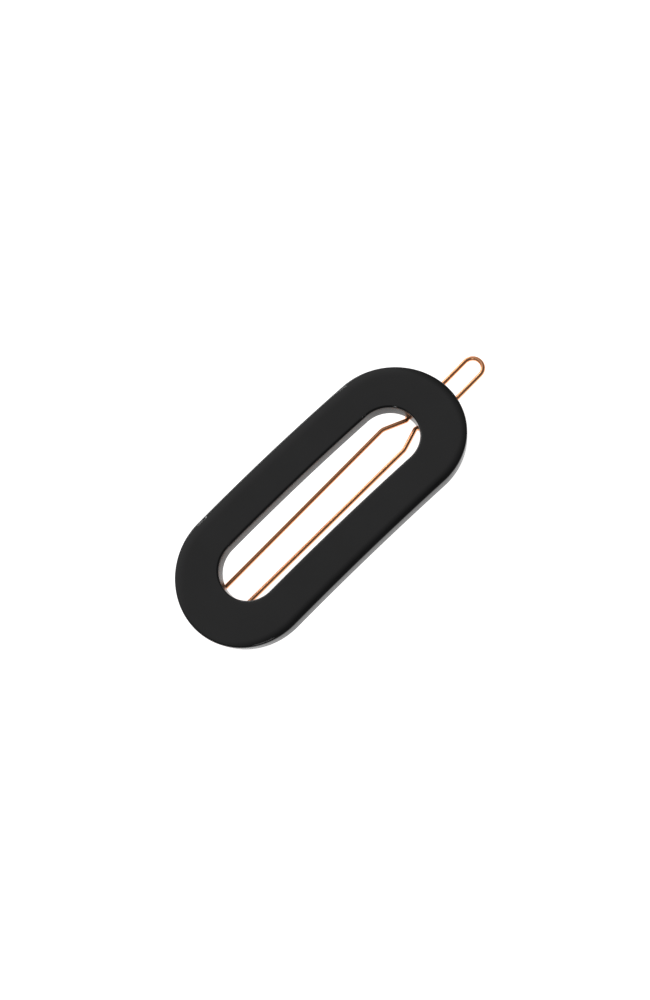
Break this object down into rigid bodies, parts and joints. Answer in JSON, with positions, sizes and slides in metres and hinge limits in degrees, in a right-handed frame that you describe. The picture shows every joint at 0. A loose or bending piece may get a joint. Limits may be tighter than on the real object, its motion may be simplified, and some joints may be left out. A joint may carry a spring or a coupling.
{
  "type": "barrette",
  "caption": "Arched round-ended hair barrette: a slotted black acetate ring closed by a hinged copper wire loop that snaps over a ball stud.",
  "frame": {"origin": "on the surface the barrette lies on, ears and ball down, below the middle of its length and width", "axes": "+X along the ring, from the hinge to the finger tab; +Y across it; +Z out of the face that shows when it is worn"},
  "size_m": [0.091, 0.034, 0.0095],
  "materials": {
    "acetate": "black cellulose acetate, tumbled and polished",
    "copper_plated_sheet": "pressed sheet with a rose-copper plating, satin",
    "copper_plated_pins": "headed pin with a rose-copper plating",
    "copper_wire": "drawn spring wire with a bright rose-copper plating",
    "copper_plated_stud": "turned stud with a bright rose-copper plating"
  },
  "bodies": {
    "frame": {"ring": "acetate", "hinge_clevis": "copper_plated_sheet", "clevis_pins": "copper_plated_pins", "ball_stud": "copper_plated_stud"},
    "clasp": {"wire_loop": "copper_wire"}
  },
  "joints": [
    {"name": "clasp_hinge", "type": "hinge", "parent": "frame", "child": "clasp", "pos_m": [-0.03977, 0, 0.0013], "axis": [0, 1, 0], "range_deg": [0, 180]}
  ]
}
